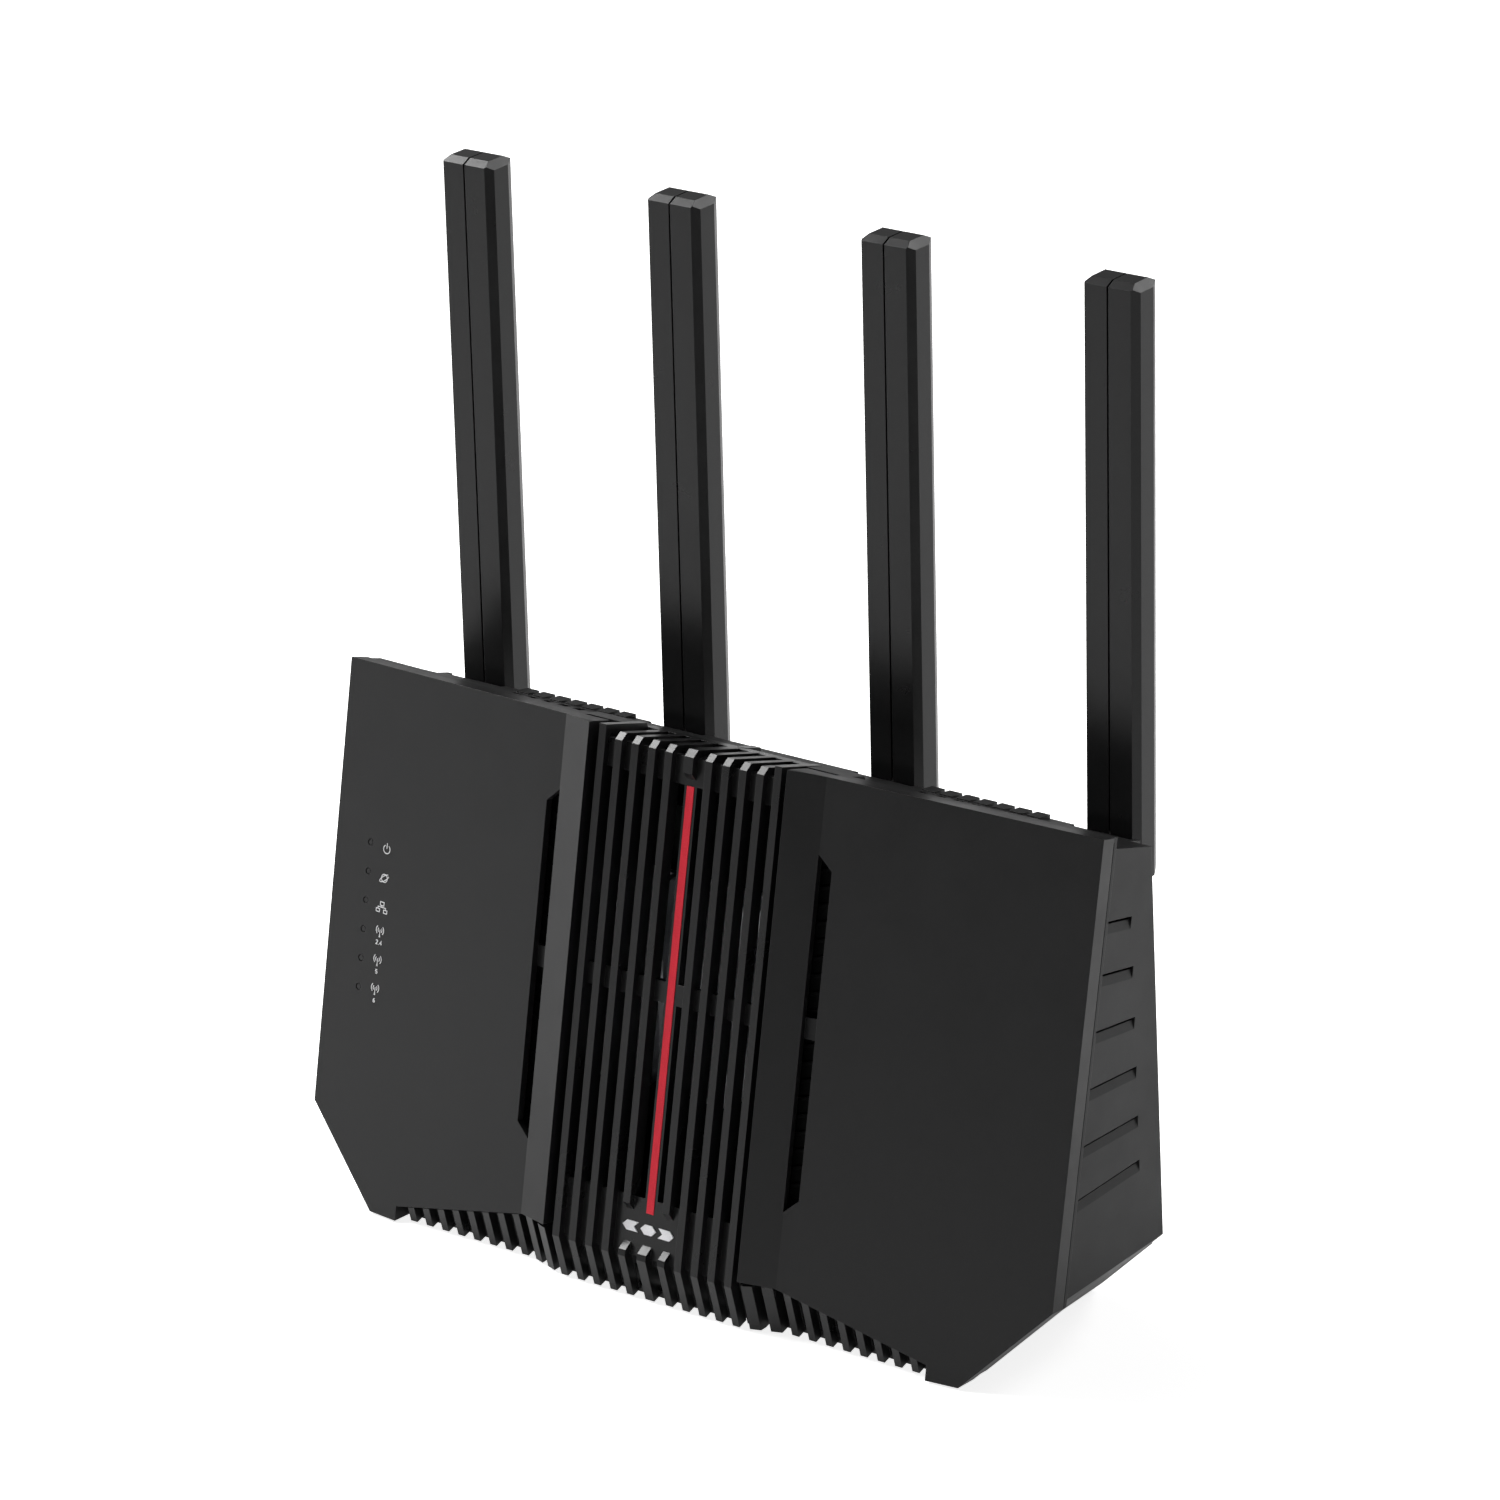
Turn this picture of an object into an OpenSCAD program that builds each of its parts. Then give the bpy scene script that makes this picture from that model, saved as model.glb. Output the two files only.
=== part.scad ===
// Upright wireless router with four fold-back blade antennas.
// Two swept-back cover wings flank a ribbed centre column with a red light strip.

/* [Front cover] */
// Width across the two cover wings
cover_width = 250; // [220:1:280]
// Lean of the whole front, degrees back from upright
lean = 11.63; // [6:0.1:16]
// Height of the cover along its slope, at the folds beside the centre column
cover_rise = 157.6; // [140:0.1:175]
// Height of the cover along its slope, at its outer corners
corner_rise = 154.6; // [135:0.1:172]
// Half distance between the two folds
fold_x = 43.2; // [38:0.1:48]
// How far each wing sweeps back, degrees in plan
sweep = 6.28; // [0:0.01:12]
// Depth of the cover's edge
cover_depth = 6.25; // [4:0.05:9]
// Skin thickness of the cover
skin = 2.2; // [1.6:0.1:3]
// Half distance between the two raised crests
crest_x = 32.8; // [30:0.1:36]
// Height of the crests in front of the wings
crest_lift = 3.55; // [2:0.05:5]

/* [Centre column] */
// Width of one rib
rib_width = 2.3; // [1.6:0.1:3]
// Height of the ribs in front of the plate between them
rib_lift = 2.2; // [1.5:0.1:3]
// Distance between ribs
rib_pitch = 5.62; // [5:0.01:6.5]
// Width of the red light strip
strip_width = 2.4; // [2:0.1:3.4]

/* [Rear housing] */
// Width of the housing behind the cover
housing_width = 245.6; // [210:0.1:250]
// Width of the raised back panel
panel_width = 232; // [200:1:236]
// Position of the back panel's top edge behind the front's lower edge
panel_top_y = 71.5; // [60:0.1:80]
// Height of the back panel's top edge
panel_top_z = 138.3; // [120:0.1:145]
// Slope of the top surface, degrees down to the back
top_slope = 17.1; // [5:0.1:20]

/* [Antennas] */
// Distance between neighbouring antennas
antenna_pitch = 69.9; // [60:0.1:75]
// Width of an antenna blade
blade_width = 16.7; // [12:0.1:22]
// Thickness of an antenna blade
blade_depth = 11.8; // [8:0.1:14]
// Height of the blades' top above the lower edge of the front
blade_top = 290.1; // [240:0.1:320]
// Height of the antenna hinge pins
pin_z = 129.6; // [120:0.1:134]

/* [Sockets and buttons] */
// Height of the row of sockets
socket_z = 21; // [18:0.5:30]
// Travel of the power button
power_travel = 2; // [1:0.1:3]
// Travel of the pairing and reset buttons
key_travel = 0.8; // [0.4:0.1:1.5]

/* [Hidden] */
foot_lift = 0.8;
belly_z = 1.2;
half = cover_width / 2;
hside = housing_width / 2;
blade_y = 73.9;
pin_y = blade_y + blade_depth / 2;
heel = 2.4;
depth_mid = (blade_y + blade_depth + 15.7 * sin(lean) - crest_lift * cos(lean)) / 2;
top_fall = 2.12;
wing_tip = atan2(cos(lean), sin(lean) * cos(sweep));
slot_w = 4.3;
corner = 25;
notch_x = 90.1;
led_x = 111.7;
chin = 14.9;
chin_floor = 2.9;
panel_lean = 2.75;
bar_low = 85.2;
bar_high = 91.2;
bevel_s = 154.3;
rib_root = 2.2;
hood_y = 47.6;
bridge_y = 49.4;
black = [0.07, 0.07, 0.075];
dark = [0.15, 0.15, 0.16];
steel = [0.72, 0.73, 0.75];
green = [0.03, 0.05, 0.04];
gold = [0.85, 0.68, 0.30];

// Point on the sloping front: s up the slope, n in front of it.
function fy(s, n) = s * sin(lean) - n * cos(lean);
function fz(s, n) = s * cos(lean) + n * sin(lean);
function fp(s, n) = [fy(s, n), fz(s, n)];
// The same point drawn flat on a swept wing.
function wp(x, s) = [(x - fold_x) / cos(sweep) + s * sin(lean) * sin(sweep),
  s * sqrt(1 - pow(sin(lean) * sin(sweep), 2))];
// Centre of rib i, counted outward from the middle rib.
function rib_x(i) = i == 0 ? 0 : sign(i) * (6.65 + (abs(i) - 1) * rib_pitch);
function top_z(y) = panel_top_z + tan(top_slope) * (panel_top_y - y);
function panel_y(z) = panel_top_y + (panel_top_z - z) * tan(panel_lean);
function antenna_x(i) = (i - 2.5) * antenna_pitch;
// Height of the plane of the cover's top edge between the crests.
function crest_z(y) = fz(cover_rise, 0) - 0.15 + tan(top_slope) * (fy(cover_rise, 0) - y);
function lower_edge(x) = abs(x) < fold_x ? 15.7 : 4.3 + (notch_x - abs(x)) * 0.2428;

module placed() translate([0, -depth_mid, foot_lift]) children();
module on_front() rotate([90 - lean, 0, 0]) children();
module on_wing() translate([fold_x, 0, 0]) rotate([wing_tip, 0, sweep]) children();
module on_chin(y) translate([0, y, 0]) rotate([90 + chin, 0, 0]) children();
// Slab across the width with a given side profile of [y, z] points.
module side_profile(x0, x1, pts)
  translate([x0, 0, 0]) rotate([90, 0, 90]) linear_extrude(x1 - x0) polygon(pts);
// Bar along the slope of the front with a given [x, n] section.
module slope_bar(s0, s1, pts)
  on_front() translate([0, s0, 0]) rotate([-90, 0, 0]) linear_extrude(s1 - s0)
    polygon([for (p = pts) [p[0], -p[1]]]);
module wing_slab(n0, n1, pts)
  on_wing() translate([0, 0, n0]) linear_extrude(n1 - n0)
    polygon([for (p = pts) wp(p[0], p[1])]);

// ---- Front cover wings ----
// Outline of a wing, drawn in by g and lapped inward past the fold.
module wing_outline_slab(n0, n1, g, lap) {
  wing_slab(n0, n1, [[fold_x - lap, cover_rise - g], [half - g, corner_rise - g],
    [half - g, corner + 0.9 + 0.4 * g], [half - corner + 0.4 * g, g], [notch_x + g, g],
    [notch_x + g, 4.3 + 1.03 * g], [fold_x - lap, 15.7 + g]]);
}

module wing_slot(n0, n1) {
  wing_slab(n0, n1, [[fold_x - 0.1, 37.2], [fold_x + slot_w, 41.1], [fold_x + slot_w, 132.2],
    [fold_x - 0.1, 136.3]]);
}

// Everything above the cover's top edge, which falls away to the back and to the sides.
module top_cutter(drop) translate([fold_x, fy(cover_rise, 0), fz(cover_rise, 0) - 0.15 - drop]) {
  rotate([0, 0, sweep]) rotate([-top_slope, top_fall, 0]) translate([-5, -5, 0]) cube([110, 35, 8]);
  rotate([-top_slope, 0, 0]) translate([-20, -5, 0]) cube([20.2, 35, 8]);
}

module cover_panel() {
  difference() {
    union() {
      difference() {
        wing_outline_slab(-cover_depth, 0, 0, 0.5);
        wing_outline_slab(-cover_depth - 1, -skin, skin, skin);
      }
      slope_bar(15.7, cover_rise, [[fold_x + 1, -crest_lift / (fold_x - crest_x)],
        [crest_x, crest_lift], [crest_x, -5], [crest_x + 1.6, -5],
        [crest_x + 1.6, crest_lift - 2.6], [fold_x + 1, 0.3 - skin]]);
      for (s = [15.8, cover_rise - 2.3]) slope_bar(s, s + 2.2, [[fold_x + 0.4, -0.5],
        [fold_x + 0.4, 0.2 - cover_depth], [crest_x + 0.2, 0.2 - cover_depth],
        [crest_x + 0.2, crest_lift - 0.5]]);
    }
    wing_slot(-cover_depth - 1, 1);
    // level lower edge
    translate([fold_x, -10, -10]) cube([100, 60, 10]);
    top_cutter(0);
  }
  // bar across the slot, level with the back of the skin
  wing_slab(-3.4, 0.1 - skin, [[fold_x - 0.5, bar_low], [fold_x + 6.4, bar_low],
    [fold_x + 6.4, bar_high], [fold_x - 0.5, bar_high]]);
}

module light_hole_row(r, n0, n1, first)
  on_wing() for (i = [0 : 5]) translate(concat(wp(led_x, first - i * 8.36), [n0]))
    cylinder(r = r, h = n1 - n0, $fn = 24);

module right_cover() color(dark) placed() cover_panel();

module left_cover() color(dark) placed() mirror([1, 0, 0]) difference() {
  cover_panel();
  light_hole_row(1.0, -cover_depth, 1, 104.4);
}

module slot_insert() {
  wing_slab(-5.9, -5.2, [[fold_x - 2.4, 35], [fold_x + 7, 35], [fold_x + 7, 138.5],
    [fold_x - 2.4, 138.5]]);
  for (i = [0 : 20]) {
    s = 38 + i * 4.85;
    wing_slab(-5.3, -4.4, [[fold_x - 1.8, s], [fold_x + 6.4, s + 2.4], [fold_x + 6.4, s + 3.3],
      [fold_x - 1.8, s + 0.9]]);
  }
}

module right_slot_insert() color(black) placed() slot_insert();
module left_slot_insert() color(black) placed() mirror([1, 0, 0]) slot_insert();

// ---- Centre column ----
module rib(x, w, pts) side_profile(x - w / 2, x + w / 2, pts);

function bridge_z(y) = fz(156.2, 0.2) + tan(top_slope) * (fy(156.2, 0.2) - y) - 0.1;
// Ribs with a bevel at the top run back to y, sunk below the cover's top edge.
function rib_top(y) = [fp(bevel_s, rib_lift), fp(156.2, 0.2), [y, bridge_z(y) + 0.1],
  [y, bridge_z(y) - 2.15], fp(154.2, -rib_root)];
// The outermost ribs have no bevel and reach the height of the crests.
function outer_rib_top() = let (t = tan(top_slope), y0 = -rib_lift * cos(lean),
  s = (crest_z(y0) - rib_lift * sin(lean)) / (cos(lean) + t * sin(lean)))
  [fp(s, rib_lift), [hood_y, crest_z(hood_y)], [hood_y + 0.8, crest_z(hood_y) - 1.9],
   [hood_y + 0.8, crest_z(hood_y) - 3.6], [42, crest_z(42) - 3.2], fp(153, -rib_root)];
function rib_foot() = [fp(13.8, -rib_root), [3.9 + chin_floor + 0.3, 0.9], [3.9, 0],
  [0.35, 13.35]];

// Side profile of a plate between y0 and y1 whose top lies `drop` below the ribs.
function bridge_slab(y0, y1, drop) = [[y0, bridge_z(y0) - 2.1], [y0, bridge_z(y0) - drop],
  [y1, bridge_z(y1) - drop], [y1, bridge_z(y1) - 2.1]];

module full_rib(i) rib(rib_x(i), rib_width,
  concat(rib_foot(), i == 5 ? outer_rib_top() : rib_top(bridge_y + 1)));
module short_rib(i) {
  rib(rib_x(i), rib_width, concat([fp(27, -rib_root), fp(25.6, -0.4), fp(28.2, rib_lift)],
    rib_top(bridge_y + 1)));
}
module lower_rib(i, w)
  rib(rib_x(i), w, concat(rib_foot(), [fp(14.9, rib_lift), fp(17.3, -0.4)]));

module gap(i, j, s0, s1) {
  a = rib_x(i) + rib_width / 2 - 0.15;
  b = rib_x(j) - rib_width / 2 + 0.15;
  on_front() translate([a, s0, -3]) cube([b - a, s1 - s0, 4]);
}

module centre_grille() color(dark) placed() {
  for (m = [0, 1]) mirror([m, 0, 0]) {
    for (i = [2 : 5]) full_rib(i);
    short_rib(1);
    lower_rib(1, rib_width);
    // return wall seen through the slit beside the crest
    slope_bar(14.5, 153, [[rib_x(5) - 0.2, 0.2], [rib_x(5) + 1, 0.2], [rib_x(5) + 1, -5.6],
      [rib_x(5) - 0.2, -5.6]]);
  }
  lower_rib(0, 3);
  rib(0, 3, concat([fp(148.5, -rib_root), fp(147.4, -0.4), fp(149.8, rib_lift)],
    rib_top(bridge_y + 1)));
  // plate between the ribs, pierced by the air gaps
  difference() {
    on_front() translate([-rib_x(5), 13.5, -2]) cube([2 * rib_x(5), 140.3, 2]);
    for (m = [0, 1]) mirror([m, 0, 0]) for (r = [[30, bar_low], [bar_high, 146]]) {
      for (i = [1 : 4]) gap(i, i + 1, r[0], r[1]);
      on_front() translate([2.05, r[0], -3]) cube([3.6, r[1] - r[0], 4]);
    }
    on_front() translate([-strip_width / 2 - 0.02, 26, -1]) cube([strip_width + 0.04, 120, 2]);
  }
  // lower lip, pierced between the ribs
  difference() {
    on_chin(3.9 + chin_floor / cos(chin)) translate([-rib_x(5), 0.1, -2])
      cube([2 * rib_x(5), 14.1, 2]);
    for (i = [-5 : 4]) on_chin(3.9 + chin_floor / cos(chin))
      translate([rib_x(i) + 1.5, 2.6, -3]) cube([rib_x(i + 1) - rib_x(i) - 3, 8, 4]);
  }
  // bridge that closes the ribs on the top, and a lower bar across the gaps
  side_profile(-30.2, 30.2, bridge_slab(bridge_y, 53.6, 0));
  side_profile(-30.2, 30.2, bridge_slab(40.6, 45.8, 0.9));
  // the middle rib runs on to the back as a low bar
  side_profile(-1.5, 1.5, concat(bridge_slab(53, 59.7, -0.1), [[61, bridge_z(61) - 2.1]]));
}

module light_strip() color([0.80, 0.06, 0.10]) placed() on_front()
  translate([-strip_width / 2, 26.1, -0.98]) cube([strip_width, 119.8, 1.15]);

module strip_led_board() color(green) placed() on_front() {
  translate([-2, 27, -3.4]) cube([4, 118, 1]);
  for (i = [0 : 11]) translate([-0.8, 31 + i * 9.8, -2.5]) cube([1.6, 1.6, 0.5]);
}

module front_badge() color([0.85, 0.85, 0.86]) placed() on_front()
  translate([0, 21.5, 0]) linear_extrude(0.3) {
    polygon([[-8.6, 0], [-7.2, 1.4], [-3.4, 1.4], [-4.8, 0], [-3.4, -1.4], [-7.2, -1.4]]);
    polygon([[-2.6, 0], [-1.2, 1.4], [1.2, 1.4], [2.6, 0], [1.2, -1.4], [-1.2, -1.4]]);
    polygon([[8.6, 0], [7.2, 1.4], [3.4, 1.4], [4.8, 0], [3.4, -1.4], [7.2, -1.4]]);
  }

// ---- Side intakes under the wings ----
// Front of the intake's ribs: it follows the slant of the cover's crest.
function intake_n(x) = max(0, fold_x - x) * crest_lift / (fold_x - crest_x) * cos(chin);

module intake() {
  y0 = 8.0;
  difference() {
    union() {
      for (i = [6 : 15]) {
        w = i < 8 ? 3.0 : rib_width;
        x0 = rib_x(i) - w / 2;
        top = lower_edge(x0 + 2.3) * cos(lean) / cos(chin);
        on_chin(y0) rotate([-90, 0, 0]) linear_extrude(top)
          polygon([[x0, chin_floor + 3], [x0 + w, chin_floor + 3], [x0 + w, -intake_n(x0 + w)],
            [x0, -intake_n(x0)]]);
      }
      on_chin(y0 + chin_floor / cos(chin)) translate([0, 0, -2]) linear_extrude(2)
        polygon([[crest_x - 2.2, 0], [notch_x - 0.2, 0], [notch_x - 0.2, 4.0], [fold_x, 15.2],
          [crest_x - 2.2, 15.2]]);
      // wall beside the centre column
      on_chin(y0) translate([crest_x - 2.2, 0, -chin_floor - 1]) cube([0.8, 14.6, chin_floor + 1.8]);
    }
    translate([0, -20, -10]) cube([100, 60, 10]);
    for (i = [6 : 13]) {
      x = rib_x(i) + 1.5;
      top = (lower_edge(x + 3) * cos(lean) - 3.4) / cos(chin);
      on_chin(y0 + chin_floor / cos(chin)) translate([x, 2.4, -3]) cube([2.62, top - 2.4, 4]);
    }
    // clear of the cover's lower wall
    wing_outline_slab(-cover_depth - 0.3, 1, -0.3, 0.8);
    slope_bar(15.4, 30, [[crest_x - 0.3, 5], [fold_x + 1, 5], [fold_x + 1, -cover_depth - 0.3],
      [crest_x - 0.3, -cover_depth - 0.3]]);
  }
}

module right_intake() color(dark) placed() intake();
module left_intake() color(dark) placed() mirror([1, 0, 0]) intake();

// ---- Status lights ----
module status_light_pipes() color([0.80, 0.83, 0.86]) placed() mirror([1, 0, 0]) {
  light_hole_row(0.78, -5.0, -0.1, 104.4);
  wing_slab(-4.6, -3.6, [[led_x - 2, 58], [led_x + 2, 58], [led_x + 2, 109], [led_x - 2, 109]]);
}

module status_led_board() color(green) placed() mirror([1, 0, 0]) {
  wing_slab(-6.6, -5.6, [[led_x - 5, 55], [led_x + 4, 55], [led_x + 4, 112], [led_x - 5, 112]]);
  on_wing() for (i = [0 : 5]) translate(concat(wp(led_x, 104.4 - i * 8.36) - [0.8, 0.8], [-5.7]))
    cube([1.6, 1.6, 0.65]);
}

// ---- Frame between the cover and the housing ----
module frame_half() {
  difference() {
    union() {
      wing_outline_slab(-8.5, -6.8, 2.3, 1.9);
      slope_bar(18, 151.5, [[0, -6.8], [fold_x + 0.5, -6.8], [fold_x + 0.5, -8.5], [0, -8.5]]);
      slope_bar(18, cover_rise - 0.9, [[crest_x + 0.5, -6.8], [fold_x + 0.5, -6.8],
        [fold_x + 0.5, -8.5], [crest_x + 0.5, -8.5]]);
    }
    for (x = [fold_x + 6, fold_x + 29.5, fold_x + 53]) wing_slab(-9, -6, [[x, 26], [x + 20.5, 26],
      [x + 20.5, 142], [x, 142]]);
    for (x = [1.5, 20]) slope_bar(26, 144, [[x, -6], [x + 16.5, -6], [x + 16.5, -9], [x, -9]]);
    top_cutter(1.6);
    translate([fold_x, -10, -10]) cube([100, 60, 12]);
  }
}

module mid_frame() color(black) placed() {
  frame_half();
  mirror([1, 0, 0]) frame_half();
}

// ---- Rear housing ----
// Everything in front of the plane that lies n behind the cover's face.
module front_cutter(n) {
  on_front() translate([-150, -60, -n]) cube([300, 300, 120]);
  for (m = [0, 1]) mirror([m, 0, 0]) on_wing() translate([-60, -60, -n]) cube([200, 300, 120]);
}

// Everything outside the sloping lower corners.
module corner_cutter(g) for (m = [0, 1]) mirror([m, 0, 0]) translate([0, 150, 0])
  rotate([90, 0, 0]) linear_extrude(200)
    polygon([[hside - 34 - 1.41 * g, -9.2], [hside + 10, -9.2], [hside + 10, 34.8 + 1.41 * g]]);

module housing_block(g) {
  difference() {
    side_profile(-hside + g, hside - g, [[13.8 + g, 1.2 + g], [13.8 + g, 16], [5, 18],
      [5, top_z(5) - g], [66.4 - g, top_z(66.4) - g], [panel_y(1.2) - 5.1 - g, 1.2 + g]]);
    corner_cutter(g);
  }
}

// Parting groove between the cover and the housing's side.
module side_groove() wing_slab(-9.15, -6, [[half - 5, -5], [half + 5, -5],
  [half + 5, corner_rise - 2.5], [half - 5, corner_rise - 2.5]]);

// Rim around the frame's edge, which follows the outline of the cover.
module rim_half() difference() {
  union() {
    difference() {
      wing_outline_slab(-8.8, -6.75, 0.35, 0.5);
      wing_outline_slab(-9, -6, 2.0, 3);
    }
    difference() {
      wing_outline_slab(-10.4, -8.6, 0.35, 0.5);
      wing_outline_slab(-11, -8, 7, 3);
    }
    // hood beside the centre column
    side_profile(crest_x - 2.2, fold_x + 1, [[40.2, crest_z(40.2)], [hood_y, crest_z(hood_y)],
      [hood_y + 0.8, crest_z(hood_y) - 1.9], [hood_y + 0.8, top_z(hood_y) - 1],
      [40.2, top_z(40.2) - 1]]);
  }
  top_cutter(0.1);
  translate([hside + 0.05, -20, -10]) cube([20, 100, 200]);
  side_groove();
  translate([0, -20, -10]) cube([notch_x + 2, 80, 80]);
  translate([0, -20, -10]) cube([200, 80, 11.2]);
}

module side_vents() {
  ends = [[56.8, 123.4, 12.5], [57.5, 108.9, 11.4], [58.2, 94.0, 8.3], [58.9, 79.4, 5.1],
    [59.6, 64.8, 2.8], [60.2, 51.6, 0]];
  for (m = [0, 1], e = ends) mirror([m, 0, 0]) translate([hside, e[0], e[1]])
    rotate([-e[2], 0, 0]) {
      translate([0, -45, 0]) rotate([-90, 0, 0]) linear_extrude(45)
        polygon([[0.5, 0], [-3, 0], [-3, 0.9], [-0.7, 0.9], [0, 3.4], [0.5, 3.4]]);
    }
}

// Left edge of hood i of the seven on the right half of the top.
function hood_x(i) = 49.7 + i * 5.64;

module rear_housing() color(dark) placed() {
  difference() {
    housing_block(0);
    front_cutter(8.6);
    difference() {
      housing_block(2.4);
      front_cutter(3);
    }
    // open back, closed by the back panel
    difference() {
      side_profile(-panel_width / 2 + 3, panel_width / 2 - 3,
        [[56, 6], [56, 124], [90, 124], [90, 6]]);
      corner_cutter(3.5);
    }
    side_vents();
    for (m = [0, 1]) mirror([m, 0, 0]) side_groove();
    // slots that lead into the hoods
    for (m = [0, 1], i = [0 : 6]) mirror([m, 0, 0])
      translate([hood_x(i) + 0.6, 60.5, 120]) cube([2.9, 4.8, 40]);
    for (i = [1 : 7]) translate([-92 + i * 23 - 2, 24, -1]) cube([4, 26, 4]);
  }
  rim_half();
  mirror([1, 0, 0]) rim_half();
}

// ---- Back panel with the sockets' windows ----
usb_x = 62;
dc_x = 98;
power_x = 83;
wan_x = 40;
lan_x = -9;
pair_x = -62;
reset_x = -76;
power_back = 6.4;
key_back = 5.8;

module panel_plate(d0, d1, g)
  side_profile(-panel_width / 2 + g, panel_width / 2 - g,
    [[panel_y(1.2 + g) - d0, 1.2 + g], [panel_y(1.2 + g) - d1, 1.2 + g],
     [panel_y(panel_top_z) - d1, top_z(panel_y(panel_top_z) - d1) - g],
     [panel_y(panel_top_z) - d0, top_z(panel_y(panel_top_z) - d0) - g]]);

module lug(x) translate([x - 2.5, 0, 0]) rotate([90, 0, 90]) linear_extrude(5) union() {
  translate([pin_y, pin_z]) circle(r = 4.2, $fn = 48);
  translate([panel_top_y - 0.5, pin_z - 4.2]) square([pin_y - panel_top_y + 0.5, 8.4]);
}

module window(x, w, z0, z1) translate([x - w / 2, 50, z0]) cube([w, 40, z1 - z0]);

module back_panel() color(dark) placed() {
  difference() {
    union() {
      difference() {
        panel_plate(0, 5.1, 0);
        panel_plate(2.4, 12, 2.2);
        corner_cutter(0);
      }
      // sill that meets the housing's top
      side_profile(-panel_width / 2, panel_width / 2, [[66.5, top_z(66.5) - 2.4],
        [66.5, top_z(66.5)], [panel_top_y, panel_top_z], [panel_top_y, panel_top_z - 2.4]]);
      // raised hoods behind the top slots
      for (m = [0, 1], i = [0 : 6]) mirror([m, 0, 0]) side_profile(hood_x(i), hood_x(i) + 4.1,
        [[66.5, top_z(66.5) - 1], [66.5, top_z(66.5) + 0.4], [panel_top_y, panel_top_z + 1.15],
         [panel_top_y, panel_top_z - 1]]);
    }
    // dips in front of the blades
    for (i = [1 : 4]) translate([antenna_x(i) - 9.6, panel_top_y - 2.6, panel_top_z + 0.8])
      rotate([-45, 0, 0]) cube([19.2, 6, 6]);
    window(wan_x, 14.6, socket_z - 6.6, socket_z + 6.6);
    window(lan_x, 59.6, socket_z - 6.6, socket_z + 6.6);
    window(usb_x, 14.9, socket_z - 3.9, socket_z + 3.9);
    translate([dc_x, 60, socket_z]) rotate([-90, 0, 0]) cylinder(r = 5.05, h = 30, $fn = 48);
    translate([power_x, 60, socket_z]) rotate([-90, 0, 0]) cylinder(r = 4.3, h = 30, $fn = 48);
    translate([pair_x, 60, socket_z]) rotate([-90, 0, 0]) cylinder(r = 3.05, h = 30, $fn = 40);
    translate([reset_x, 60, socket_z]) rotate([-90, 0, 0]) cylinder(r = 1.55, h = 30, $fn = 32);
    // air slots across the back
    for (j = [0 : 2], i = [-9 : 9]) translate([i * 10 - 1.3, 60, 52 + j * 21]) cube([2.6, 30, 15]);
    // clearance for the screw heads
    for (x = [-108, 108], z = [40, 106]) translate([x, panel_y(z) - 1.4, z]) rotate([-90, 0, 0])
      cylinder(r = 3.2, h = 6, $fn = 40);
    for (x = [-108, 108], z = [40, 106]) translate([x, 60, z]) rotate([-90, 0, 0])
      cylinder(r = 1.6, h = 20, $fn = 32);
  }
  difference() {
    for (i = [1 : 4]) lug(antenna_x(i));
    for (i = [1 : 4]) translate([antenna_x(i) - 4, pin_y, pin_z]) rotate([0, 90, 0])
      cylinder(r = 1.55, h = 8, $fn = 48);
  }
}

module panel_screws() color([0.25, 0.25, 0.27]) placed()
  for (x = [-108, 108], z = [40, 106]) translate([x, panel_y(z) - 1.4, z]) rotate([-90, 0, 0])
    difference() {
      union() {
        cylinder(r = 2.9, h = 1.2, $fn = 40);
        translate([0, 0, -7]) cylinder(r = 1.55, h = 7.1, $fn = 32);
      }
      for (a = [0, 90]) rotate([0, 0, a]) translate([-1.9, -0.35, 0.5]) cube([3.8, 0.7, 1]);
    }

module rating_label() color([0.75, 0.75, 0.76]) placed() on_back(0, 41, 0.02)
  translate([-34, -6, 0]) cube([68, 12, 0.15]);

// Frame on the back panel's outer face: local Z points out of it.
module on_back(x, z, out) translate([x, panel_y(z) + out, z]) rotate([-90 + panel_lean, 0, 0])
  rotate([0, 0, 180]) children();

// ---- Electronics ----
board_y = 50;
module main_board() color(green) placed() difference() {
  translate([-104, board_y, 12.5]) cube([208, 1.6, 113.5]);
  for (x = [-99, 99], z = [32, 120]) translate([x, board_y - 1, z]) rotate([-90, 0, 0])
    cylinder(r = 1.7, h = 4, $fn = 32);
}

module heatsink() color([0.62, 0.63, 0.65]) placed() {
  translate([-60, board_y - 5, 46]) cube([120, 2, 62]);
  for (i = [0 : 17]) translate([-60 + i * 6.94, board_y - 14, 46]) cube([2, 9.1, 62]);
}

module shield_cans() color(steel) placed() for (b = [[-92, 52, 26, 40], [66, 52, 26, 40]])
  difference() {
    translate([b[0], board_y - 3.5, b[1]]) cube([b[2], 3.5, b[3]]);
    translate([b[0] + 0.4, board_y - 3.1, b[1] + 0.4]) cube([b[2] - 0.8, 4, b[3] - 0.8]);
  }

module board_chips() color(black) placed() {
  for (b = [[-42, 56, 24, 24], [-6, 56, 14, 14], [16, 56, 14, 14], [-30, 88, 20, 12],
            [14, 88, 20, 12]])
    translate([b[0], board_y - 3, b[1]]) cube([b[2], 3, b[3]]);
  for (i = [0 : 3]) translate([-70 + i * 44, board_y + 1.6, 40]) cube([16, 4, 12]);
}

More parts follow.
